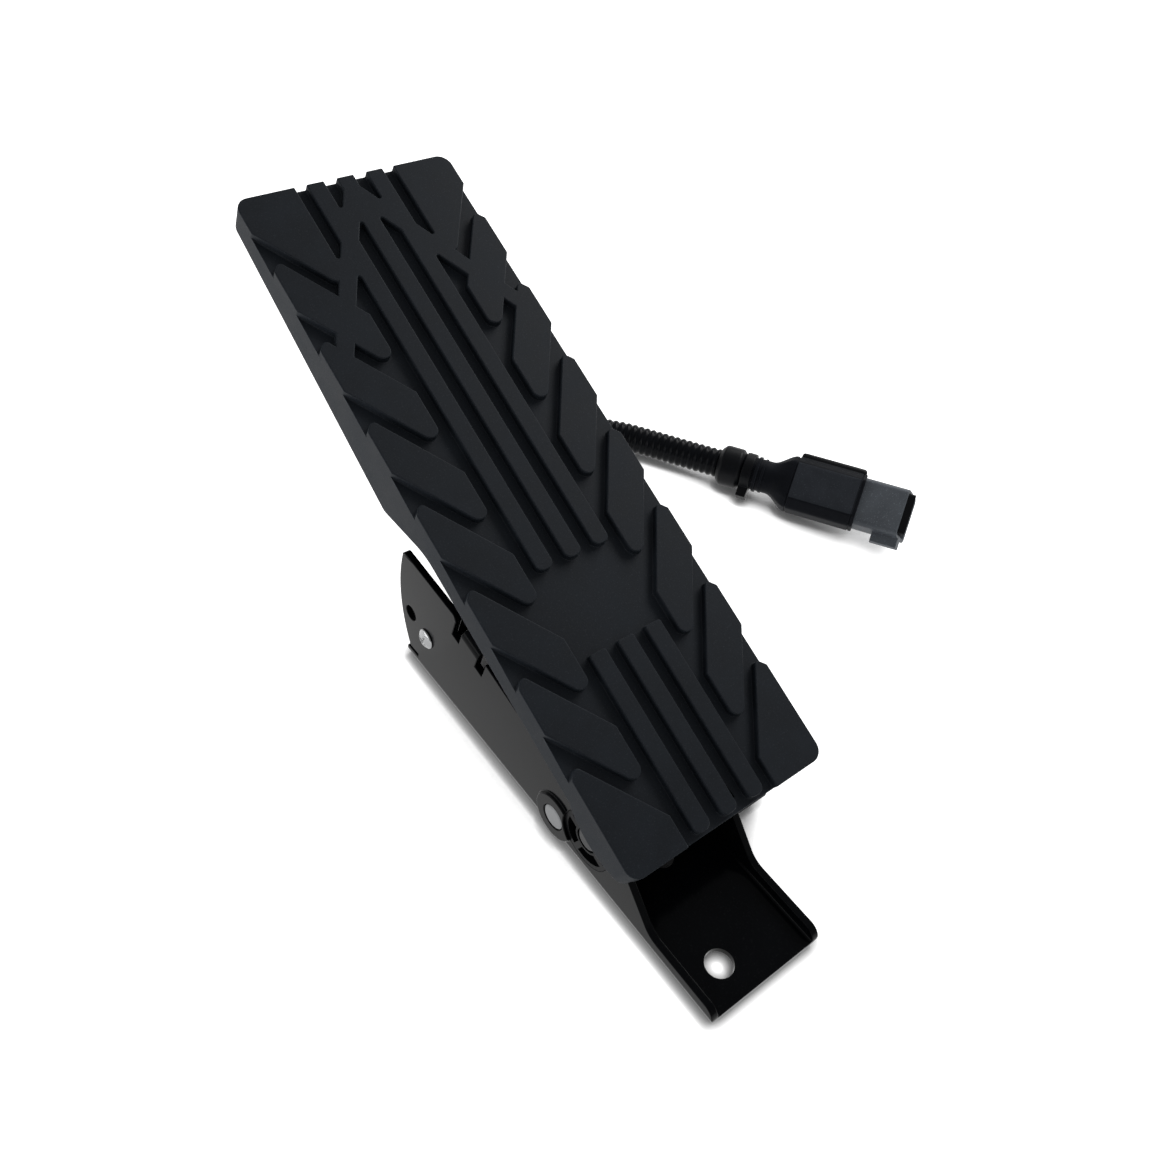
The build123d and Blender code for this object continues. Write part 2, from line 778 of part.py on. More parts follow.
gland_plane = Plane(origin=(gland_x, sensor_toe, gland_z), x_dir=(1, 0, 0), z_dir=(0, 1, 0))
with BuildPart() as sensor_housing:
    with BuildSketch(side_plane(channel_right)):
        add(sensor_outline(0))
    extrude(amount=sensor_depth)
    with BuildSketch(side_plane(channel_right + sensor_base)):
        add(sensor_outline(sensor_wall))
    extrude(amount=sensor_depth, mode=Mode.SUBTRACT)
    with BuildSketch(side_plane(channel_right)):
        with Locations(*sensor_screw_places):
            Circle(sensor_screw_boss / 2)
        add(sensor_outline(0), mode=Mode.INTERSECT)
    extrude(amount=sensor_depth)
    with BuildSketch(side_plane(channel_right)):
        with Locations(*sensor_screw_places):
            Circle(sensor_screw / 2 + fit_gap)
        with Locations((hinge_y, hinge_z)):
            Circle(pin_diameter / 2 + soft_gap)
    extrude(amount=sensor_depth, mode=Mode.SUBTRACT)
    with BuildSketch(side_plane(channel_right)):
        with Locations((hinge_y, hinge_z)):
            Circle(pin_diameter / 2 + seal_section + seat_gap)
    extrude(amount=seal_section + seat_gap, mode=Mode.SUBTRACT)
    with BuildSketch(gland_plane):
        Circle(lead_diameter / 2)
    extrude(amount=-2 * sensor_wall, mode=Mode.SUBTRACT)
finish(sensor_housing, "sensor_housing")

# Shaft seal, in its seat between the housing and the wall
with BuildPart() as shaft_seal:
    with BuildSketch(side_plane(channel_right + seat_gap)):
        with Locations((hinge_y, hinge_z)):
            Circle(pin_diameter / 2 + seal_section)
            Circle(pin_diameter / 2 + seat_gap, mode=Mode.SUBTRACT)
    extrude(amount=seal_section - seat_gap)
finish(shaft_seal, "shaft_seal")

# Rotor on the end of the pin, with its magnet
rotor_left = channel_right + sensor_base + soft_gap
with BuildPart() as sensor_rotor:
    with BuildSketch(side_plane(rotor_left)):
        with Locations((hinge_y, hinge_z)):
            Circle(rotor_diameter / 2)
    extrude(amount=rotor_length + magnet_thick)
    with BuildSketch(side_plane(rotor_left)):
        with Locations((hinge_y, hinge_z)):
            Circle(pin_diameter / 2 + seat_gap)
    extrude(amount=rotor_length, mode=Mode.SUBTRACT)
    with BuildSketch(side_plane(rotor_left + rotor_length)):
        with Locations((hinge_y, hinge_z)):
            Circle(magnet_diameter / 2 + seat_gap)
    extrude(amount=magnet_thick, mode=Mode.SUBTRACT)
finish(sensor_rotor, "sensor_rotor")

with BuildPart() as rotor_magnet:
    with BuildSketch(side_plane(rotor_left + rotor_length)):
        with Locations((hinge_y, hinge_z)):
            Circle(magnet_diameter / 2)
    extrude(amount=magnet_thick)
finish(rotor_magnet, "rotor_magnet")

# Circuit board under the cover
board_left = sensor_right - board_gap - board_thick
board_heel = sensor_screw_places[0][0] + sensor_screw_boss / 2 + board_margin
board_toe = sensor_screw_places[2][0] - sensor_screw_boss / 2 - board_margin
with BuildPart() as circuit_board:
    with BuildSketch(side_plane(board_left)):
        add(sensor_outline(sensor_wall + board_margin))
        with Locations(((board_heel + board_toe) / 2, sensor_crown / 2)):
            Rectangle(board_toe - board_heel, sensor_crown, mode=Mode.INTERSECT)
    extrude(amount=board_thick)
finish(circuit_board, "circuit_board")

# Sensor cover with a locating rim inside the housing's wall
with BuildPart() as sensor_cover:
    with BuildSketch(side_plane(sensor_right)):
        add(sensor_outline(0))
    extrude(amount=cover_thick)
    chamfer(sensor_cover.faces().sort_by(Axis.X)[-1].edges(), cover_thick / 3)
    with BuildSketch(side_plane(sensor_right)):
        add(sensor_outline(sensor_wall + fit_gap))
        add(sensor_outline(sensor_wall + fit_gap + cover_rim_wall), mode=Mode.SUBTRACT)
        with Locations(*sensor_screw_places):
            Circle(sensor_screw_boss / 2 + soft_gap, mode=Mode.SUBTRACT)
    extrude(amount=-cover_rim)
    with BuildSketch(side_plane(sensor_right)):
        with Locations(*sensor_screw_places):
            Circle(sensor_screw / 2 + fit_gap)
    extrude(amount=cover_thick, mode=Mode.SUBTRACT)
finish(sensor_cover, "sensor_cover")

with BuildPart() as sensor_screws:
    for place in sensor_screw_places:
        add(
            pan_screw(
                sensor_right + cover_thick,
                -1,
                place,
                sensor_screw,
                sensor_screw_head,
                sensor_screw_head_height,
                cover_thick + sensor_depth + sheet,
            )
        )
finish(sensor_screws, "sensor_screws")

# Cable gland on the sensor's toe face
with BuildPart() as cable_gland:
    with BuildSketch(gland_plane):
        RegularPolygon(gland_hex / 2, 6, major_radius=False)
    extrude(amount=gland_hex_length)
    with BuildSketch(gland_plane):
        Circle(gland_barrel / 2)
    extrude(amount=gland_length)
    chamfer(cable_gland.faces().sort_by(Axis.Y)[-1].edges(), pin_chamfer)
    with BuildSketch(gland_plane):
        Circle(lead_diameter / 2 - sheet / 2)
    extrude(amount=gland_length, mode=Mode.SUBTRACT)
finish(cable_gland, "cable_gland")

# Corrugated lead, as a plain tube along its route
lead_points = [Vector(*point) for point in lead_route]
lead_runs = [after - before for before, after in zip(lead_points, lead_points[1:])]
lead_radii = []
for before, after in zip(lead_runs, lead_runs[1:]):
    half_turn = radians(before.get_angle(after)) / 2
    lead_radii.append(0.45 * min(before.length, after.length) / tan(half_turn))
print("lead radii", [round(radius, 1) for radius in lead_radii])
with BuildPart() as lead:
    with BuildLine() as lead_line:
        FilletPolyline(*lead_points, radius=lead_radii)
    with BuildSketch(Plane(origin=lead_line.line @ 0, z_dir=lead_line.line % 0)):
        Circle(lead_diameter / 2)
    sweep()
lead_length = sum(edge.length for edge in lead_line.edges())
lead_section = pi * lead_diameter**2 / 4
lead_fill = lead.part.volume / lead_section / lead_length
print("lead length", round(lead_length, 1), "volume ratio", round(lead_fill, 4))
finish(lead, "lead")

# Connector: everything lies along the last run of the lead, rolled a little towards the heel
far_end = lead_points[-1]
heading = lead_runs[-1].normalized()
sideways = Vector(0, 0, 1).cross(heading).normalized()
upward = heading.cross(sideways)
roll = radians(connector_roll)
broad = sideways * -cos(roll) - upward * sin(roll)


def connector_plane(along):
    """Plane across the connector, along from the lead's end: X across its broad face, normal forwards."""
    return Plane(origin=far_end + heading * along, x_dir=broad, z_dir=heading)


neck_end = collar_length + neck_length
shell_start = neck_end + shoulder_length
shell_end = shell_start + shell_length
nose_end = shell_end + nose_length

with BuildPart() as conduit_collar:
    with BuildSketch(connector_plane(0)):
        Circle(collar_diameter / 2)
    extrude(amount=collar_length)
    chamfer(conduit_collar.edges().filter_by(GeomType.CIRCLE), collar_chamfer)
finish(conduit_collar, "conduit_collar")

# Boot: a round neck that swells into a chamfered rectangular backshell with a rail on one edge
with BuildPart() as connector_boot:
    with BuildSketch(connector_plane(collar_length)):
        Circle(neck_diameter / 2)
    extrude(amount=neck_length)
    with BuildSketch(connector_plane(neck_end)) as neck_section:
        Rectangle(neck_diameter, neck_diameter)
        chamfer(neck_section.vertices(), neck_diameter / (2 + sqrt(2)))
    with BuildSketch(connector_plane(shell_start)) as shoulder_section:
        Rectangle(shell_width, shell_height)
        chamfer(shoulder_section.vertices(), shell_chamfer)
    loft(ruled=True)
    with BuildSketch(connector_plane(shell_start)) as shell_section:
        Rectangle(shell_width, shell_height)
        chamfer(shell_section.vertices(), shell_chamfer)
    extrude(amount=shell_length)
    with BuildSketch(connector_plane(shell_start)):
        with Locations((-shell_width / 2, 0)):
            Rectangle(2 * latch_height, latch_width)
    extrude(amount=shell_length)
    with BuildSketch(connector_plane(shell_end)):
        RectangleRounded(nose_width + 2 * seat_gap, nose_height + 2 * seat_gap, nose_round)
    extrude(amount=-nose_root, mode=Mode.SUBTRACT)
finish(connector_boot, "connector_boot")

# Tie strap round the boot's neck, with its lock
with BuildPart() as tie_strap:
    with BuildSketch(connector_plane(collar_length)):
        Circle(neck_diameter / 2 + strap_thick)
        with Locations((neck_diameter / 2 + strap_lock / 2, 0)):
            Rectangle(strap_lock, strap_lock)
        Circle(neck_diameter / 2 + seat_gap, mode=Mode.SUBTRACT)
    extrude(amount=strap_width)
finish(tie_strap, "tie_strap")

# Nose: the open mating shroud with its keel and slanting mouth
with BuildPart() as connector_nose:
    with BuildSketch(connector_plane(shell_end - nose_root + seat_gap)):
        RectangleRounded(nose_width, nose_height, nose_round)
    extrude(amount=nose_length + nose_root - seat_gap)
    with BuildSketch(connector_plane(nose_end - keel_length)):
        with Locations((nose_width / 2, 0)):
            Rectangle(2 * keel_height, keel_width)
    extrude(amount=keel_length)
    with BuildSketch(connector_plane(nose_end)):
        RectangleRounded(nose_width - 2 * nose_wall, nose_height - 2 * nose_wall, nose_round - nose_wall)
    extrude(amount=-nose_cavity, mode=Mode.SUBTRACT)
    # The mouth slants back on the broad upper side
    slant = Plane(origin=far_end + heading * nose_end, x_dir=heading, z_dir=broad)
    with BuildSketch(slant):
        Polygon(
            (0, -nose_height / 2),
            (nose_cut, -nose_height / 2),
            (nose_cut, nose_height),
            (-nose_cut, nose_height / 2),
            align=None,
        )
    extrude(amount=nose_width, both=True, mode=Mode.SUBTRACT)
finish(connector_nose, "connector_nose")

# Wedge block at the bottom of the shroud, with the contact pins standing in it
wedge_plane = connector_plane(nose_end - nose_cavity)
with BuildPart() as connector_wedge:
    with BuildSketch(wedge_plane):
        RectangleRounded(
            nose_width - 2 * nose_wall - 2 * fit_gap,
            nose_height - 2 * nose_wall - 2 * fit_gap,
            nose_round - nose_wall,
        )
        with GridLocations(contact_pitch, contact_pitch, 3, 2):
            Circle(contact_diameter / 2 + seat_gap, mode=Mode.SUBTRACT)
    extrude(amount=wedge_length)
finish(connector_wedge, "connector_wedge")

with BuildPart() as connector_pins:
    with BuildSketch(wedge_plane):
        with GridLocations(contact_pitch, contact_pitch, 3, 2):
            Circle(contact_diameter / 2)
    extrude(amount=contact_length)
finish(connector_pins, "connector_pins")
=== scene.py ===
import math

import bpy
from mathutils import Matrix, Vector


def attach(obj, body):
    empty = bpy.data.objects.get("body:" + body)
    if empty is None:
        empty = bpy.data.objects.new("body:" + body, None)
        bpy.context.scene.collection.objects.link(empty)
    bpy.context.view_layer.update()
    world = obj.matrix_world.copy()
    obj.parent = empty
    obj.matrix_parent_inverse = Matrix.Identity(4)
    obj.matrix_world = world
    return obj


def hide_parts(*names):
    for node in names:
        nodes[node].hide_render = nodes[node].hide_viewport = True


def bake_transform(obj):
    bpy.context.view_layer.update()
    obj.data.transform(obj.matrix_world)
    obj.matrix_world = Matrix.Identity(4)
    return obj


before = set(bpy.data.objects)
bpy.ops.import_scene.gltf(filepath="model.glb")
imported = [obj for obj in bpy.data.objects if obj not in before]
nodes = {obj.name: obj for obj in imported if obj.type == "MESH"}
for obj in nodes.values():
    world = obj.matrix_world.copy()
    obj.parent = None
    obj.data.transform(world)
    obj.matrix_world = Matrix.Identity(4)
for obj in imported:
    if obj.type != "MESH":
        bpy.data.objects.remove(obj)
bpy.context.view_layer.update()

# Folded channel
# Pressed and folded from 3 mm sheet steel, then powder-coated black, which leaves a fine orange-peel
# skin with tiny paler specks. Three bolts hold it to the cab floor.


def moulded_finish(
    name,
    colour,
    rough,
    grain,
    depth,
    speck=0.0,
    mottle=0.18,
    metal=0.0,
    sheen_level=0.5,
    index=1.5,
    edge_highlight=0.0,
):
    """A surface with a fine grain, cloudy colour and gloss, a few pale specks, and paler convex edges as a
    painted edge highlight.
    """
    material = bpy.data.materials.new(name)
    material.use_nodes = True
    tree = material.node_tree
    skin = tree.nodes["Principled BSDF"]
    skin.inputs["Metallic"].default_value = metal
    skin.inputs["Specular IOR Level"].default_value = sheen_level
    skin.inputs["IOR"].default_value = index
    place = tree.nodes.new("ShaderNodeTexCoord")

    cloud = tree.nodes.new("ShaderNodeTexNoise")
    cloud.inputs["Scale"].default_value = 70.0
    cloud.inputs["Detail"].default_value = 6.0
    cloud.inputs["Roughness"].default_value = 0.6
    tree.links.new(place.outputs["Object"], cloud.inputs["Vector"])

    tint = tree.nodes.new("ShaderNodeValToRGB")
    tint.color_ramp.elements[0].position = 0.3
    tint.color_ramp.elements[1].position = 0.7
    tint.color_ramp.elements[0].color = [c * (1 - mottle) for c in colour] + [1]
    tint.color_ramp.elements[1].color = [c * (1 + mottle) for c in colour] + [1]
    tree.links.new(cloud.outputs["Fac"], tint.inputs["Fac"])

    gloss = tree.nodes.new("ShaderNodeMapRange")
    gloss.inputs["To Min"].default_value = rough * 0.85
    gloss.inputs["To Max"].default_value = rough * 1.15
    tree.links.new(cloud.outputs["Fac"], gloss.inputs["Value"])
    tree.links.new(gloss.outputs["Result"], skin.inputs["Roughness"])

    fine = tree.nodes.new("ShaderNodeTexNoise")
    fine.inputs["Scale"].default_value = grain
    fine.inputs["Detail"].default_value = 3.0
    tree.links.new(place.outputs["Object"], fine.inputs["Vector"])
    relief = tree.nodes.new("ShaderNodeBump")
    relief.inputs["Strength"].default_value = 0.6
    relief.inputs["Distance"].default_value = depth
    tree.links.new(fine.outputs["Fac"], relief.inputs["Height"])
    tree.links.new(relief.outputs["Normal"], skin.inputs["Normal"])

    paint = tint.outputs["Color"]
    if speck > 0:
        dust = tree.nodes.new("ShaderNodeTexNoise")
        dust.inputs["Scale"].default_value = grain * 0.6
        dust.inputs["Detail"].default_value = 1.0
        tree.links.new(place.outputs["Object"], dust.inputs["Vector"])
        pick = tree.nodes.new("ShaderNodeMapRange")
        pick.inputs["From Min"].default_value = 0.62
        pick.inputs["From Max"].default_value = 0.72
        pick.inputs["To Max"].default_value = speck
        tree.links.new(dust.outputs["Fac"], pick.inputs["Value"])
        blend = tree.nodes.new("ShaderNodeMix")
        blend.data_type = "RGBA"
        blend.inputs["B"].default_value = [min(1.0, c * 4 + 0.05) for c in colour] + [1]
        tree.links.new(pick.outputs["Result"], blend.inputs["Factor"])
        tree.links.new(paint, blend.inputs["A"])
        paint = blend.outputs["Result"]
    if edge_highlight > 0:
        # Painted highlight: convex edges, found by ambient occlusion traced inside the solid, are painted
        # paler.
        corner = tree.nodes.new("ShaderNodeAmbientOcclusion")
        corner.inside = True
        corner.only_local = True
        corner.samples = 8
        corner.inputs["Distance"].default_value = 0.0008
        edge_highlight_mask = tree.nodes.new("ShaderNodeMapRange")
        edge_highlight_mask.inputs["From Min"].default_value = 0.85
        edge_highlight_mask.inputs["From Max"].default_value = 0.5
        edge_highlight_mask.inputs["To Max"].default_value = edge_highlight
        tree.links.new(corner.outputs["AO"], edge_highlight_mask.inputs["Value"])
        pale = tree.nodes.new("ShaderNodeMix")
        pale.data_type = "RGBA"
        pale.inputs["B"].default_value = [c * 3 + 0.01 for c in colour] + [1]
        tree.links.new(edge_highlight_mask.outputs["Result"], pale.inputs["Factor"])
        tree.links.new(paint, pale.inputs["A"])
        paint = pale.outputs["Result"]
    tree.links.new(paint, skin.inputs["Base Color"])
    return material


def dress(node, material):
    """Give a solid of the frame its finish."""
    for slot in nodes[node].material_slots:
        slot.material = material


def ease_edges(node, width, steps=3):
    """Round the sharp edges of a solid of the frame, as moulding or coating leaves them."""
    weld = nodes[node].modifiers.new("weld", "WELD")
    weld.merge_threshold = 0.00001
    flat = nodes[node].modifiers.new("flat", "DECIMATE")
    flat.decimate_type = "DISSOLVE"
    flat.angle_limit = math.radians(0.6)
    ease = nodes[node].modifiers.new("ease", "BEVEL")
    ease.width = width
    ease.segments = steps
    ease.limit_method = "ANGLE"
    ease.angle_limit = math.radians(35)
    ease.use_clamp_overlap = False
    ease.harden_normals = False
    even = nodes[node].modifiers.new("even", "WEIGHTED_NORMAL")
    even.keep_sharp = False


coat_black = (0.0016, 0.0019, 0.0026)
powder_coat = moulded_finish(
    "powder_coat", coat_black, 0.14, 2600.0, 0.000006, speck=0.06, sheen_level=0.076, index=1.45
)
dress("base_bracket", powder_coat)
ease_edges("base_bracket", 0.0004)

# Hinge
# A turned steel pin in moulded nylon bushes with open spokes; spring clips hold the pin, and a plastic
# sleeve on it carries the spring coils.
bush_black = (0.004, 0.0043, 0.005)
dull_grey = (0.016, 0.017, 0.019)
bush_nylon = moulded_finish("bush_nylon", bush_black, 0.4, 1500.0, 0.00002, sheen_level=0.1, index=1.4)
dull_steel = moulded_finish("dull_steel", dull_grey, 0.3, 900.0, 0.00002, mottle=0.3, sheen_level=0.2)
spring_steel = moulded_finish("spring_steel", (0.12, 0.12, 0.125), 0.4, 1200.0, 0.00003, metal=1.0)
for node in ("hinge_bush_left", "hinge_bush_right", "spring_sleeve"):
    dress(node, bush_nylon)
dress("hinge_pin", dull_steel)
ease_edges("hinge_pin", 0.0008)
dress("pin_clips", spring_steel)

# Cross pin
# Turned steel, tying the walls low down; its polished end shows in the raised pad, and the springs' low
# legs lie on it.
steel_grey = (0.21, 0.215, 0.22)
turned_steel = moulded_finish("turned_steel", steel_grey, 0.3, 900.0, 0.00003, mottle=0.15, metal=1.0)
dress("anchor_pin", turned_steel)
ease_edges("anchor_pin", 0.0006)

# Return springs
# Two oiled torsion springs on the hinge's sleeve. The low leg lies on the cross pin and the high leg lifts
# the treadle, so each coil winds up a little as the treadle goes down.
for hand in ("left", "right"):
    spring = bpy.data.objects.new("wound_spring_" + hand, nodes["return_spring_" + hand].data.copy())
    bpy.context.scene.collection.objects.link(spring)
    spring.data.materials.clear()
    spring.data.materials.append(spring_steel)
    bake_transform(spring)
    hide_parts("return_spring_" + hand)

# Rubber stops
# Moulded black rubber, pulled into their holes by their stems: one on the floor, one on the bent tab.
stop_rubber = moulded_finish("stop_rubber", (0.018, 0.018, 0.019), 0.75, 1800.0, 0.00008)
dress("idle_stop", stop_rubber)
dress("full_stop", stop_rubber)

# Spacer and its screws
# A plated tube between the wall tips, held by a bright zinc pan-head screw at each end.
zinc_grey = (0.36, 0.365, 0.37)
bright_zinc = moulded_finish("bright_zinc", zinc_grey, 0.2, 1300.0, 0.00002, mottle=0.1, metal=1.0)
dress("spacer_tube", dull_steel)
screw_rings = [(0.25 * step, 2.6 - 0.1 * (0.25 * step) ** 2) for step in range(16)]
screw_rings += [(4.1, 0.95), (4.3, 0.75), (4.4, 0.45), (4.4, 0.0), (2.5, 0.0), (2.5, -12.0), (0.0, -12.0)]
screw_turns = 96
screw_y = 164.8
screw_z = 23.4
recess_half_width = 0.5
recess_half_length = 2.3
recess_depth = 1.3
recess_tilt = math.radians(20)
left_wall = -16.5
right_wall = 36.5
screw_vertices = []
screw_faces = []
for wall_face, outward in ((left_wall, -1), (right_wall, 1)):
    first = len(screw_vertices)
    for radius, height in screw_rings:
        for turn in range(screw_turns):
            angle = 2 * math.pi * turn / screw_turns
            across, up = radius * math.cos(angle), radius * math.sin(angle)
            narrow, wide = sorted((abs(across), abs(up)))
            in_recess = narrow < recess_half_width and wide < recess_half_length and height > 0
            sunk = recess_depth if in_recess else 0.0
            place = (
                wall_face + outward * (height - sunk),
                screw_y + across * math.cos(recess_tilt) - up * math.sin(recess_tilt),
                screw_z + across * math.sin(recess_tilt) + up * math.cos(recess_tilt),
            )
            screw_vertices.append([value / 1000 for value in place])
    for ring in range(len(screw_rings) - 1):
        for turn in range(screw_turns):
            here, there = first + ring * screw_turns, first + (ring + 1) * screw_turns
            after = (turn + 1) % screw_turns
            face = (here + turn, there + turn, there + after, here + after)
            screw_faces.append(face if outward > 0 else face[::-1])
screw_mesh = bpy.data.meshes.new("domed_screws")
screw_mesh.from_pydata(screw_vertices, [], screw_faces)
for face in screw_mesh.polygons:
    face.use_smooth = True
domed_screws = bpy.data.objects.new("domed_screws", screw_mesh)
bpy.context.scene.collection.objects.link(domed_screws)
screw_mesh.materials.append(bright_zinc)
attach(domed_screws, "bracket")
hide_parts("spacer_screws")

# Rotary sensor
# A moulded case screwed to the right wall, sealed against the pin, with a board under its cover.
case_plastic = moulded_finish("case_plastic", (0.012, 0.0138, 0.0165), 0.7, 2200.0, 0.00003, index=1.12)
board_lacquer = moulded_finish("board_lacquer", (0.01, 0.09, 0.03), 0.35, 600.0, 0.00002)
for node in ("sensor_housing", "sensor_cover", "cable_gland", "sensor_rotor"):
    dress(node, case_plastic)
dress("sensor_screws", bright_zinc)
dress("shaft_seal", stop_rubber)
dress("circuit_board", board_lacquer)
dress("rotor_magnet", spring_steel)

# Treadle
# One black moulding in glass-filled nylon with a fine grained skin; its raised tread blocks, ribs and
# inverted V have softly rounded edges. It turns on the hinge pin.
tread_black = (0.0099, 0.0130, 0.0176)
# Its convex edges are painted paler: a painted edge highlight.
tread_skin = moulded_finish(
    "tread_skin", tread_black, 0.6, 3200.0, 0.00008, speck=0.12, sheen_level=0.16, edge_highlight=0.45
)
dress("treadle", tread_skin)
ease_edges("treadle", 0.0005)

# Corrugated lead
# Split-loom conduit of black nylon, ribbed every 3.3 mm so that it bends. It leaves the sensor's gland,
# lies on the floor behind the treadle and comes out on the right to the connector.
lead_diameter = 0.0145
lead_groove = 0.0009
lead_pitch = 0.0033
lead_route = [
    (0.0490, 0.1000, 0.0135),
    (0.0490, 0.1240, 0.0135),
    (0.0477, 0.1570, 0.0096),
    (0.0470, 0.1880, 0.0075),
    (0.0471, 0.2163, 0.0075),
    (0.0579, 0.2396, 0.0075),
    (0.0775, 0.2561, 0.0075),
    (0.1023, 0.2627, 0.0075),
    (0.1276, 0.2582, 0.0075),
    (0.1478, 0.2422, 0.0075),
    (0.1597, 0.2241, 0.0082),
    (0.1690, 0.2081, 0.0094),
    (0.1774, 0.1934, 0.0108),
]
route_curve = bpy.data.curves.new("lead_line", "CURVE")
route_curve.dimensions = "3D"
route_curve.resolution_u = 40
route_spline = route_curve.splines.new("NURBS")
route_spline.points.add(len(lead_route) - 1)
for point, place in zip(route_spline.points, lead_route):
    point.co = (*place, 1)
route_spline.order_u = 3
route_spline.use_endpoint_u = True
route_object = bpy.data.objects.new("lead_line", route_curve)
bpy.context.scene.collection.objects.link(route_object)
bpy.context.view_layer.update()
route_mesh = bpy.data.meshes.new_from_object(route_object)
lead_line = [vertex.co.copy() for vertex in route_mesh.vertices]
bpy.data.objects.remove(route_object)
bpy.data.meshes.remove(route_mesh)


def along_line(line, step):
    """Points every step along a line, each with the line's direction there."""
    reach = [0.0]
    for before, after in zip(line, line[1:]):
        reach.append(reach[-1] + (after - before).length)
    count = round(reach[-1] / step)
    found = []
    index = 0
    for number in range(count + 1):
        want = reach[-1] * number / count
        while index < len(line) - 2 and reach[index + 1] < want:
            index += 1
        run = max(reach[index + 1] - reach[index], 1e-9)
        found.append(line[index].lerp(line[index + 1], (want - reach[index]) / run))
    headings = []
    for number in range(count + 1):
        ahead = found[min(number + 1, count)] - found[max(number - 1, 0)]
        headings.append(ahead.normalized())
    return found, headings, reach[-1]


steps_per_rib = 8
rib_flatness = 0.45
around = 28
lead_points, lead_headings, lead_length = along_line(lead_line, lead_pitch / steps_per_rib)
lead_vertices = []
lead_faces = []
side = Vector((0, 0, 1)).cross(lead_headings[0]).normalized()
for number, (place, heading) in enumerate(zip(lead_points, lead_headings)):
    side = (side - heading * side.dot(heading)).normalized()
    up = heading.cross(side)
    wave = 0.5 - 0.5 * math.cos(2 * math.pi * number / steps_per_rib)
    radius = lead_diameter / 2 - lead_groove * (1 - wave ** rib_flatness)
    for turn in range(around):
        angle = 2 * math.pi * turn / around
        lead_vertices.append(place + (side * math.cos(angle) + up * math.sin(angle)) * radius)
    if number:
        low = (number - 1) * around
        for turn in range(around):
            after = (turn + 1) % around
            lead_faces.append((low + turn, low + after, low + around + after, low + around + turn))
lead_faces.append(tuple(reversed(range(around))))
lead_faces.append(tuple(range(len(lead_vertices) - around, len(lead_vertices))))
lead_mesh = bpy.data.meshes.new("corrugated_lead")
lead_mesh.from_pydata(lead_vertices, [], lead_faces)
for face in lead_mesh.polygons:
    face.use_smooth = True
corrugated_lead = bpy.data.objects.new("corrugated_lead", lead_mesh)
bpy.context.scene.collection.objects.link(corrugated_lead)
conduit_nylon = moulded_finish("conduit_nylon", (0.0040, 0.0048, 0.0064), 0.3, 1600.0, 0.00001, index=1.16)
lead_mesh.materials.append(conduit_nylon)
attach(corrugated_lead, "bracket")
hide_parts("lead")

# In-line connector
# A collar and tie strap close the conduit on a two-part moulded boot; the paler nose is the open mating
# shroud with its contacts inside.
boot_black = (0.0088, 0.0100, 0.0130)
# The paler black on the next line is painted light for the backshell's lit flat faces.
painted_light_black = (0.031, 0.0352, 0.0430)
nose_grey = (0.100, 0.112, 0.128)
collar_black = (0.0032, 0.0038, 0.0052)
contact_gold = (0.75, 0.62, 0.35)
# The boot's convex edges are painted paler: a painted edge highlight.
boot_plastic = moulded_finish("boot_plastic", boot_black, 0.5, 2600.0, 0.00004, index=1.13, edge_highlight=0.5)
painted_light_plastic = moulded_finish("painted_light_plastic", painted_light_black, 0.6, 2600.0, 0.00006, index=1.2, speck=0.15)
nose_plastic = moulded_finish("nose_plastic", nose_grey, 0.5, 2600.0, 0.00005, index=1.3, speck=0.2)
collar_nylon = moulded_finish("collar_nylon", collar_black, 0.45, 2600.0, 0.00003, index=1.22)
contact_metal = moulded_finish("contact_metal", contact_gold, 0.25, 900.0, 0.00001, mottle=0.05, metal=1.0)
for node in ("conduit_collar", "tie_strap", "connector_wedge"):
    dress(node, collar_nylon)
dress("connector_nose", nose_plastic)
dress("connector_pins", contact_metal)
ease_edges("connector_nose", 0.0004)
ease_edges("conduit_collar", 0.0006)
ease_edges("tie_strap", 0.0005)
plug_start = Vector(lead_route[-1])
plug_ahead = (Vector(lead_route[-1]) - Vector(lead_route[-2])).normalized()
plug_level = Vector((0, 0, 1)).cross(plug_ahead).normalized()
plug_roll = math.radians(35)
plug_broad = -plug_level * math.cos(plug_roll) - plug_ahead.cross(plug_level) * math.sin(plug_roll)
plug_thin = plug_ahead.cross(plug_broad)


def soft_box(half_width, half_height, cut, angle, hardness=40):
    """How far a rectangle with cut and softened corners reaches at an angle."""
    across, up = abs(math.cos(angle)), abs(math.sin(angle))
    total = (across / half_width) ** hardness + (up / half_height) ** hardness
    total += ((across + up) / (half_width + half_height - cut)) ** hardness
    return total ** (-1 / hardness)


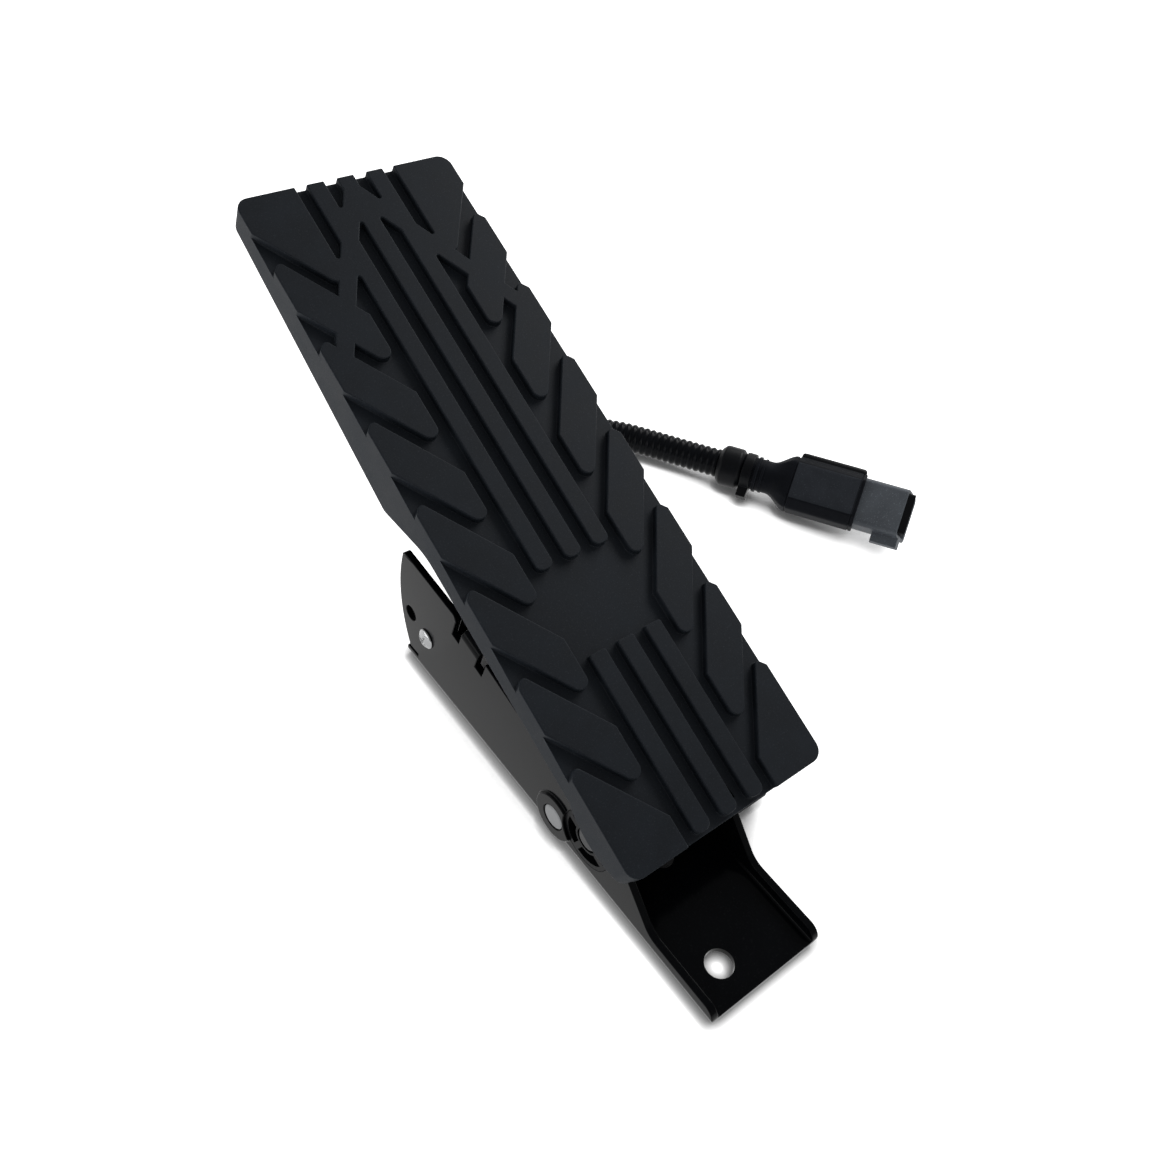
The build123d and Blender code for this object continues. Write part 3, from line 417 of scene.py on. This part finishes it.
def plug_piece(name, rings, section, centre, material, turns=144):
    """A closed skin of sections along the plug; section gives the reach of a ring at an angle."""
    vertices = []
    faces = []
    for number, ring in enumerate(rings):
        for turn in range(turns):
            angle = 2 * math.pi * turn / turns
            reach = section(ring, angle)
            across = centre + reach * math.cos(angle)
            up = reach * math.sin(angle)
            along = ring[0](up) if callable(ring[0]) else ring[0]
            offset = plug_ahead * along + plug_broad * across + plug_thin * up
            vertices.append(plug_start + offset / 1000)
        if number:
            low = (number - 1) * turns
            for turn in range(turns):
                after = (turn + 1) % turns
                faces.append((low + turn, low + after, low + turns + after, low + turns + turn))
    faces.append(tuple(reversed(range(turns))))
    faces.append(tuple(range(len(vertices) - turns, len(vertices))))
    mesh = bpy.data.meshes.new(name)
    mesh.from_pydata(vertices, [], faces)
    piece = bpy.data.objects.new(name, mesh)
    bpy.context.scene.collection.objects.link(piece)
    mesh.materials.append(material)
    for face in mesh.polygons:
        face.use_smooth = True
    mesh.set_sharp_from_angle(angle=math.radians(38))
    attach(piece, "bracket")
    return piece


neck_radius = 8.2
boot_half_width = 14.0
boot_half_height = 9.5
boot_cut = 4.5
seat_half_width = 12.4
seat_half_height = 7.15
seat_cut = 2.2


def boot_section(ring, angle):
    """Round at the neck, a cut rectangle in the backshell, a seat for the nose at the end."""
    along, swell, sink, seat = ring
    if seat:
        return soft_box(seat_half_width, seat_half_height, seat_cut, angle)
    square_part = soft_box(boot_half_width, boot_half_height, boot_cut, angle)
    return neck_radius + (square_part - neck_radius) * swell - sink


boot_rings = [(13.0, 0, 0, 0), (19.2, 0, 0, 0), (19.4, 0, -0.7, 0), (20.8, 0, -0.9, 0), (21.0, 0, 0, 0)]
boot_rings += [(22.6, 0, 0, 0), (22.8, 0, -0.5, 0), (23.8, 0, -0.5, 0), (24.0, 0, 0, 0)]
shoulder_steps = 14
shoulder_start = 26.5
shoulder_length = 11.6
shoulder_swell = 0.96
for step in range(shoulder_steps + 1):
    part = step / shoulder_steps
    swell = part * part * (3 - 2 * part) * shoulder_swell
    boot_rings.append((shoulder_start + shoulder_length * part, swell, 0, 0))
boot_rings += [(38.3, 0.95, 0.35, 0), (38.9, 0.95, 0.35, 0), (39.05, 0.985, 0, 0), (39.6, 1, 0, 0)]
boot_rings += [(70.6, 1, 0, 0), (70.75, 1, 0.45, 0), (71.2, 1, 0.45, 0), (71.35, 1, 0.05, 0)]
boot_rings += [(72.3, 1, 0.05, 0), (72.65, 1, 0.2, 0), (72.8, 1, 0.6, 0), (72.8, 1, 0, 1), (69.9, 1, 0, 1)]
plug_boot = plug_piece("plug_boot", boot_rings, boot_section, 0.0, boot_plastic)
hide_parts("connector_boot")
# Painted light: the backshell's broad flat faces take a paler copy of the boot's black, standing in for
# the light on its top.
plug_boot.data.materials.append(painted_light_plastic)
panel_start = 0.039
panel_end = 0.071
panel_facing = 0.96
for face in plug_boot.data.polygons:
    along = (face.center - plug_start).dot(plug_ahead)
    if abs(face.normal.dot(plug_thin)) > panel_facing and panel_start < along < panel_end:
        face.material_index = 1

rail_half_width = 3.5
rail_half_height = 4.3
rail_cut = 1.2
rail_softness = 9
rail_offset = -13.5


def rail_section(ring, angle):
    """A bar with a softly rounded back."""
    share = ring[1]
    half_height = rail_half_height * share ** 0.5
    return soft_box(rail_half_width * share, half_height, rail_cut * share, angle, rail_softness)


rail_rings = [(39.0, 0.6), (39.3, 0.82), (39.9, 0.95), (41.0, 1.0)]
rail_rings += [(70.2, 1.0), (71.2, 0.95), (71.8, 0.82), (72.1, 0.6)]
plug_rail = plug_piece(
    "plug_rail", rail_rings, rail_section, rail_offset, collar_nylon, turns=48
)

nose_tip = 98.8
mouth_slant = 5.0
nose_height = 14.0
lining_inset = 0.4
lining_half_width = 10.58
lining_half_height = 5.33
lining_cut = 0.5


def mouth_line(up):
    """The slanting mouth, a little inside the nose's rim."""
    return nose_tip - mouth_slant * (up + nose_height / 2) / nose_height - lining_inset


def mouth_section(ring, angle):
    """The lining follows the nose's wall."""
    return soft_box(lining_half_width - ring[1], lining_half_height - ring[1], lining_cut, angle)


mouth_rings = [(84.9, 0.0), (mouth_line, 0.0), (mouth_line, 0.5), (85.2, 0.5)]
# Painted shade: a lining in the collar's near-black covers the nose's inner walls, where the mouth is in
# shade.
painted_shade_lining = plug_piece("painted_shade_lining", mouth_rings, mouth_section, 0.0, collar_nylon)
connector_solids = ("conduit_collar", "tie_strap", "connector_nose", "connector_wedge", "connector_pins")
on_the_lead = [nodes[name] for name in connector_solids]
on_the_lead += [plug_boot, plug_rail, painted_shade_lining]

# Studio
# A white table that takes the pedal's shadow, its camera-seen glow dimmed by ambient occlusion as painted
# shadow near and under the pedal; one broad soft panel on the right that lights the tread across its ribs,
# a weak one low on the left, and a dim sky.
# The camera stands at the heel's left.
table_size = 8.0
table_edge = table_size / 2
table_mesh = bpy.data.meshes.new("table")
table_corners = [(-table_edge, -table_edge, 0), (table_edge, -table_edge, 0)]
table_corners += [(table_edge, table_edge, 0), (-table_edge, table_edge, 0)]
table_mesh.from_pydata(table_corners, [], [(0, 1, 2, 3)])
table = bpy.data.objects.new("table", table_mesh)
table.location.z = -0.0004
bpy.context.scene.collection.objects.link(table)
table_paint = bpy.data.materials.new("table_paint")
table_paint.use_nodes = True
tree = table_paint.node_tree
matt = tree.nodes["Principled BSDF"]
matt.inputs["Base Color"].default_value = (0.85, 0.85, 0.85, 1)
matt.inputs["Roughness"].default_value = 0.9
matt.inputs["Specular IOR Level"].default_value = 0.0
glow = tree.nodes.new("ShaderNodeEmission")
both = tree.nodes.new("ShaderNodeAddShader")
seen = tree.nodes.new("ShaderNodeLightPath")
# Painted shadow: ambient occlusion within 4.5 mm and within 12 cm darkens the white glow the camera sees
# at the pedal's foot, in the bolt hole and under the treadle.
nearby = tree.nodes.new("ShaderNodeAmbientOcclusion")
nearby.inputs["Distance"].default_value = 0.0045
dim = tree.nodes.new("ShaderNodeMath")
dim.operation = "POWER"
dim.inputs[1].default_value = 4.0
overhead = tree.nodes.new("ShaderNodeAmbientOcclusion")
overhead.inputs["Distance"].default_value = 0.12
clear = tree.nodes.new("ShaderNodeMapRange")
clear.interpolation_type = "SMOOTHSTEP"
clear.inputs["From Min"].default_value = 0.28
clear.inputs["From Max"].default_value = 0.62
painted_shadow_factor = tree.nodes.new("ShaderNodeMath")
painted_shadow_factor.operation = "MULTIPLY"
white = tree.nodes.new("ShaderNodeMath")
white.operation = "MULTIPLY"
mirrored = tree.nodes.new("ShaderNodeMath")
mirrored.operation = "MULTIPLY_ADD"
mirrored.inputs[1].default_value = 0.8
tree.links.new(nearby.outputs["AO"], dim.inputs[0])
tree.links.new(overhead.outputs["AO"], clear.inputs["Value"])
tree.links.new(dim.outputs["Value"], painted_shadow_factor.inputs[0])
tree.links.new(clear.outputs["Result"], painted_shadow_factor.inputs[1])
tree.links.new(painted_shadow_factor.outputs["Value"], white.inputs[0])
tree.links.new(seen.outputs["Is Camera Ray"], white.inputs[1])
tree.links.new(seen.outputs["Is Glossy Ray"], mirrored.inputs[0])
tree.links.new(white.outputs["Value"], mirrored.inputs[2])
tree.links.new(mirrored.outputs["Value"], glow.inputs["Strength"])
tree.links.new(matt.outputs["BSDF"], both.inputs[0])
tree.links.new(glow.outputs["Emission"], both.inputs[1])
tree.links.new(both.outputs["Shader"], tree.nodes["Material Output"].inputs["Surface"])
table_mesh.materials.append(table_paint)

world = bpy.data.worlds.new("studio")
bpy.context.scene.world = world
world.use_nodes = True
tree = world.node_tree
sky = tree.nodes["Background"]
sky.inputs["Color"].default_value = (1, 1, 1, 1)
sky_place = tree.nodes.new("ShaderNodeTexCoord")
height = tree.nodes.new("ShaderNodeSeparateXYZ")
fade = tree.nodes.new("ShaderNodeMapRange")
fade.inputs["From Min"].default_value = 0.05
fade.inputs["From Max"].default_value = 0.55
fade.inputs["To Min"].default_value = 0.5
fade.inputs["To Max"].default_value = 0.33
tree.links.new(sky_place.outputs["Generated"], height.inputs["Vector"])
tree.links.new(height.outputs["Z"], fade.inputs["Value"])
tree.links.new(fade.outputs["Result"], sky.inputs["Strength"])
backdrop = tree.nodes.new("ShaderNodeBackground")
backdrop.inputs["Color"].default_value = (1, 1, 1, 1)
backdrop.inputs["Strength"].default_value = 1.0
seen = tree.nodes.new("ShaderNodeLightPath")
choose = tree.nodes.new("ShaderNodeMixShader")
tree.links.new(seen.outputs["Is Camera Ray"], choose.inputs["Fac"])
tree.links.new(sky.outputs["Background"], choose.inputs[1])
tree.links.new(backdrop.outputs["Background"], choose.inputs[2])
tree.links.new(choose.outputs["Shader"], tree.nodes["World Output"].inputs["Surface"])


def soft_panel(name, place, target, width, height, power):
    """A long soft lamp at place, aimed at target."""
    lamp = bpy.data.lights.new(name, "AREA")
    lamp.shape = "RECTANGLE"
    lamp.size = width
    lamp.size_y = height
    lamp.energy = power
    holder = bpy.data.objects.new(name, lamp)
    holder.location = place
    holder.rotation_euler = (Vector(target) - Vector(place)).to_track_quat("-Z", "Y").to_euler()
    bpy.context.scene.collection.objects.link(holder)


soft_panel("right_panel", (0.97, 0.34, 0.72), (0.03, 0.16, 0.06), 0.8, 0.35, 7.5)
soft_panel("left_panel", (-0.8, 0.42, 0.26), (0.0, 0.14, 0.05), 1.2, 0.3, 2.6)

camera_data = bpy.data.cameras.new("photo_camera")
camera_data.sensor_fit = "HORIZONTAL"
camera_data.sensor_width = 36.0
camera_data.lens = 33.03
camera = bpy.data.objects.new("photo_camera", camera_data)
right = Vector((0.78141, -0.61137, 0.12501))
upward = Vector((0.38366, 0.62868, 0.67644))
back = Vector((-0.49215, -0.48061, 0.72581))
camera_turn = Matrix((right, upward, back)).transposed().to_4x4()
camera_place = (-0.17146, -0.07007, 0.36147)
camera.matrix_world = Matrix.Translation(camera_place) @ camera_turn
bpy.context.scene.collection.objects.link(camera)
bpy.context.scene.camera = camera
bpy.context.scene.view_settings.view_transform = "Standard"

bpy.context.view_layer.update()
